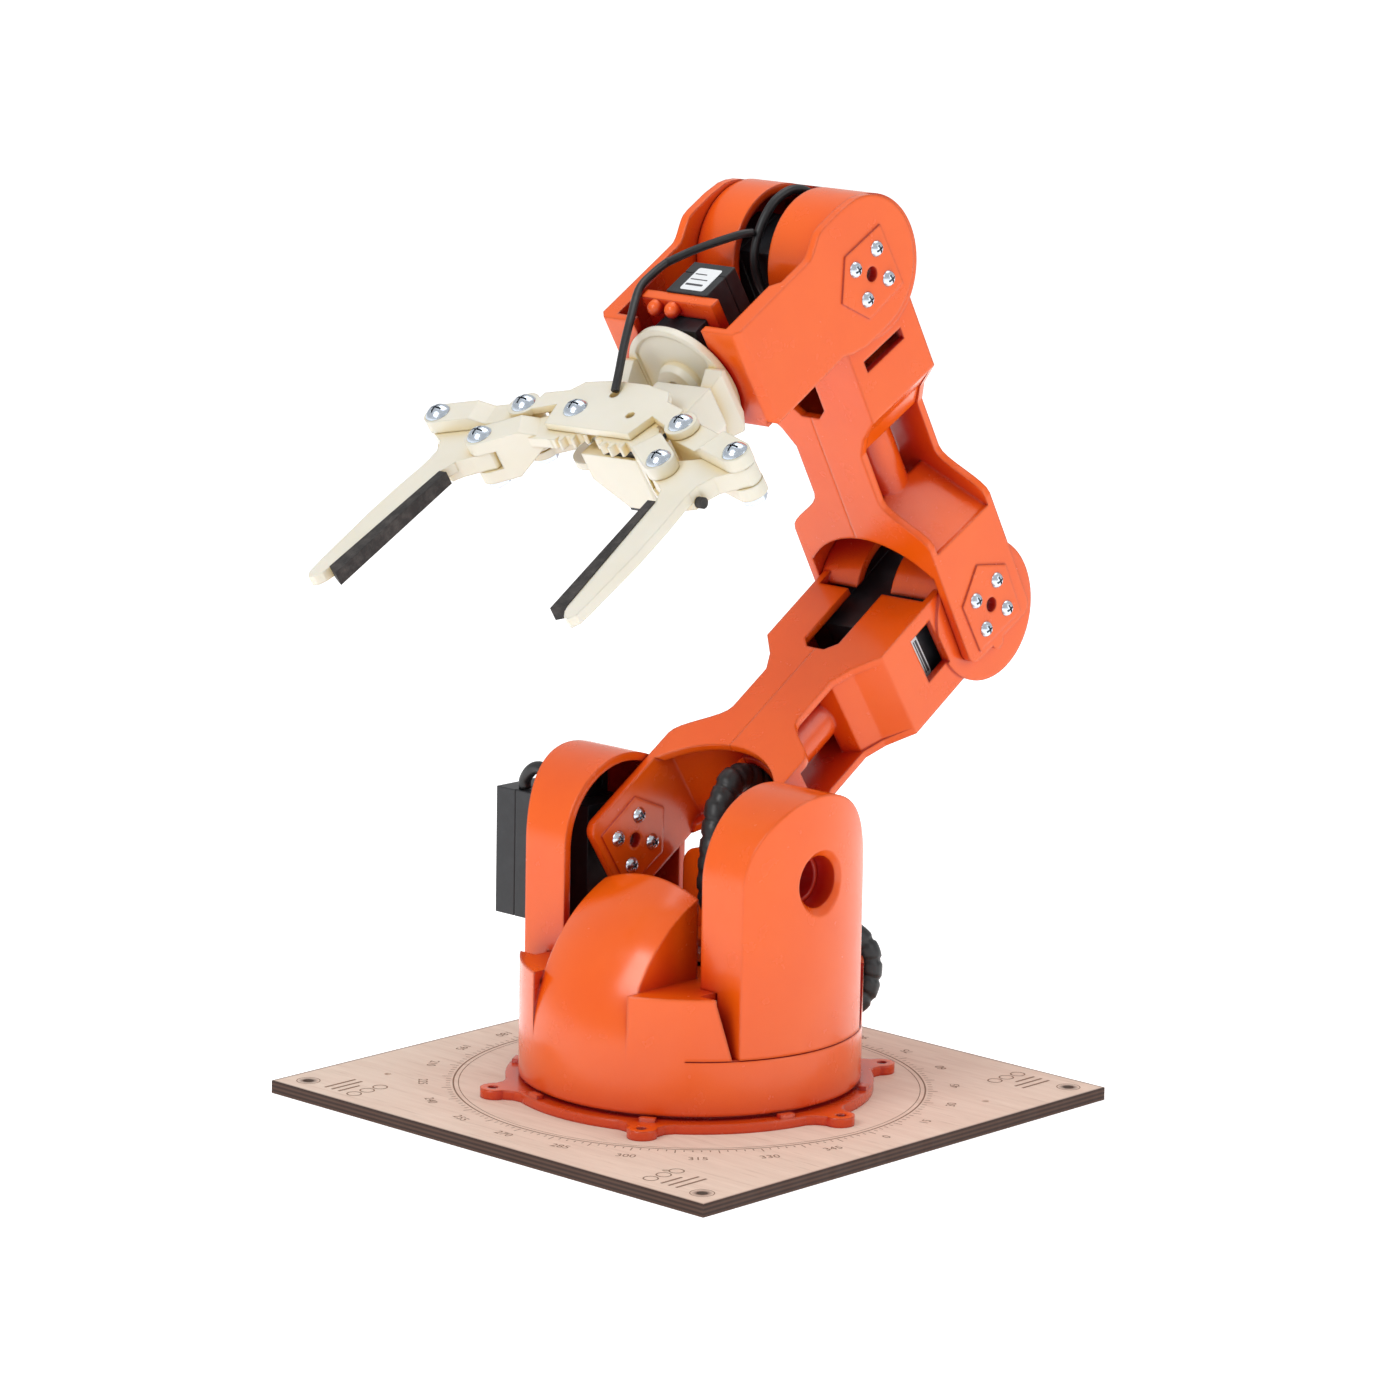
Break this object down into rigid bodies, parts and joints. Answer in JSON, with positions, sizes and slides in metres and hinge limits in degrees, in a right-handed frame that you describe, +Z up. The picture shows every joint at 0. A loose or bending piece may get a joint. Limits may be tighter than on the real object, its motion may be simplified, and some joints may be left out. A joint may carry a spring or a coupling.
{
  "type": "articulated robot arm",
  "caption": "Desktop servo robot arm on a square engraved board, with a turning base, two box links, a rolling wrist and a geared gripper.",
  "frame": {"origin": "middle of the board's underside, on the base's turning axis", "axes": "+Z up along the base's turning axis, +X to the arm's right side, the gripper reaches towards -Y"},
  "size_m": [0.1824, 0.241, 0.2798],
  "materials": {
    "orange_plastic": "smooth moulded, glossy",
    "ivory_plastic": "smooth moulded, satin",
    "servo_plastic": "fine texture",
    "horn_metal": "machined",
    "screw_steel": "bright zinc",
    "black_screw": "black oxide",
    "pad_rubber": "soft, matte",
    "cable_black": "wrapped sleeve",
    "plywood": "engraved, with burnt edges"
  },
  "bodies": {
    "base": {"board": "plywood", "base_ring": "orange_plastic", "ring_screws": "black_screw", "base_servo": "servo_plastic"},
    "turret": {"base_horn": "horn_metal", "turret_body": "orange_plastic", "left_cheek": "orange_plastic", "right_cheek": "orange_plastic", "shoulder_servo": "servo_plastic", "turret_loom": "cable_black", "shoulder_lead": "cable_black"},
    "upper_arm": {"upper_left": "orange_plastic", "upper_right": "orange_plastic", "shoulder_horn": "horn_metal", "shoulder_screws": "screw_steel", "elbow_servo": "servo_plastic", "upper_loom": "cable_black"},
    "forearm": {"fore_left": "orange_plastic", "fore_right": "orange_plastic", "elbow_horn": "horn_metal", "elbow_idler": "orange_plastic", "elbow_screws": "screw_steel", "wrist_servo": "servo_plastic", "wrist_lead": "cable_black"},
    "hand": {"hand_shell": "orange_plastic", "wrist_horn": "horn_metal", "wrist_idler": "orange_plastic", "wrist_screws": "screw_steel", "servo_bridge": "orange_plastic", "servo_posts": "orange_plastic", "roll_servo": "servo_plastic", "gripper_lead": "cable_black"},
    "gripper": {"roll_horn": "horn_metal", "roll_disc": "ivory_plastic", "bracket": "ivory_plastic", "gripper_body": "ivory_plastic", "gripper_servo": "servo_plastic", "body_screws": "screw_steel", "body_nuts": "screw_steel"},
    "left_arm": {"left_gear_arm": "ivory_plastic"},
    "left_outer": {"left_link": "ivory_plastic"},
    "left_jaw": {"left_finger": "ivory_plastic", "left_pad": "pad_rubber", "left_plug": "pad_rubber", "left_finger_screws": "screw_steel"},
    "right_arm": {"right_gear_arm": "ivory_plastic"},
    "right_outer": {"right_link": "ivory_plastic"},
    "right_jaw": {"right_finger": "ivory_plastic", "right_pad": "pad_rubber", "right_plug": "pad_rubber", "right_finger_screws": "screw_steel"}
  },
  "joints": [
    {"name": "base_yaw", "type": "hinge", "parent": "base", "child": "turret", "pos_m": [0, 0, 0], "axis": [0, 0, 1], "range_deg": [-90, 90]},
    {"name": "shoulder", "type": "hinge", "parent": "turret", "child": "upper_arm", "pos_m": [0, 0, 0.0772], "axis": [-1, 0, 0], "range_deg": [-106.6, 18.4]},
    {"name": "elbow", "type": "hinge", "parent": "upper_arm", "child": "forearm", "pos_m": [0, 0.10436, 0.14601], "axis": [1, 0, 0], "range_deg": [-175.7, 4.3]},
    {"name": "wrist", "type": "hinge", "parent": "forearm", "child": "hand", "pos_m": [0, 0.04356, 0.25523], "axis": [-1, 0, 0], "range_deg": [0, 180]},
    {"name": "wrist_roll", "type": "hinge", "parent": "hand", "child": "gripper", "pos_m": [0, 0.04356, 0.25523], "axis": [0, -0.8526, -0.5225], "range_deg": [-90, 90], "deforming": ["gripper_lead"]},
    {"name": "right_grip", "type": "hinge", "parent": "gripper", "child": "right_arm", "pos_m": [0.01149, -0.03576, 0.20707], "axis": [0.0332, 0.5222, -0.8522], "range_deg": [0, 55]},
    {"name": "left_grip", "type": "hinge", "parent": "gripper", "child": "left_arm", "pos_m": [-0.01149, -0.03536, 0.20642], "axis": [-0.0332, -0.5222, 0.8522], "range_deg": [0, 55]},
    {"name": "right_outer_swing", "type": "hinge", "parent": "gripper", "child": "right_outer", "pos_m": [0.03288, -0.03681, 0.20726], "axis": [0.0332, 0.5222, -0.8522], "range_deg": [0, 63.57]},
    {"name": "right_jaw_swing", "type": "hinge", "parent": "right_arm", "child": "right_jaw", "pos_m": [0.03758, -0.05094, 0.19878], "axis": [0.0332, 0.5222, -0.8522], "range_deg": [-38.44, 0]},
    {"name": "left_outer_swing", "type": "hinge", "parent": "gripper", "child": "left_outer", "pos_m": [-0.03288, -0.03567, 0.2054], "axis": [-0.0332, -0.5222, 0.8522], "range_deg": [0, 63.57]},
    {"name": "left_jaw_swing", "type": "hinge", "parent": "left_arm", "child": "left_jaw", "pos_m": [-0.03758, -0.04964, 0.19665], "axis": [-0.0332, -0.5222, 0.8522], "range_deg": [-38.44, 0]}
  ],
  "couplings": [
    {"joint": "left_grip", "follows": "right_grip", "ratio": 1},
    {"joint": "right_outer_swing", "follows": "right_grip", "ratio": 1.155},
    {"joint": "right_jaw_swing", "follows": "right_grip", "ratio": -0.698},
    {"joint": "left_outer_swing", "follows": "right_grip", "ratio": 1.155},
    {"joint": "left_jaw_swing", "follows": "right_grip", "ratio": -0.698}
  ]
}
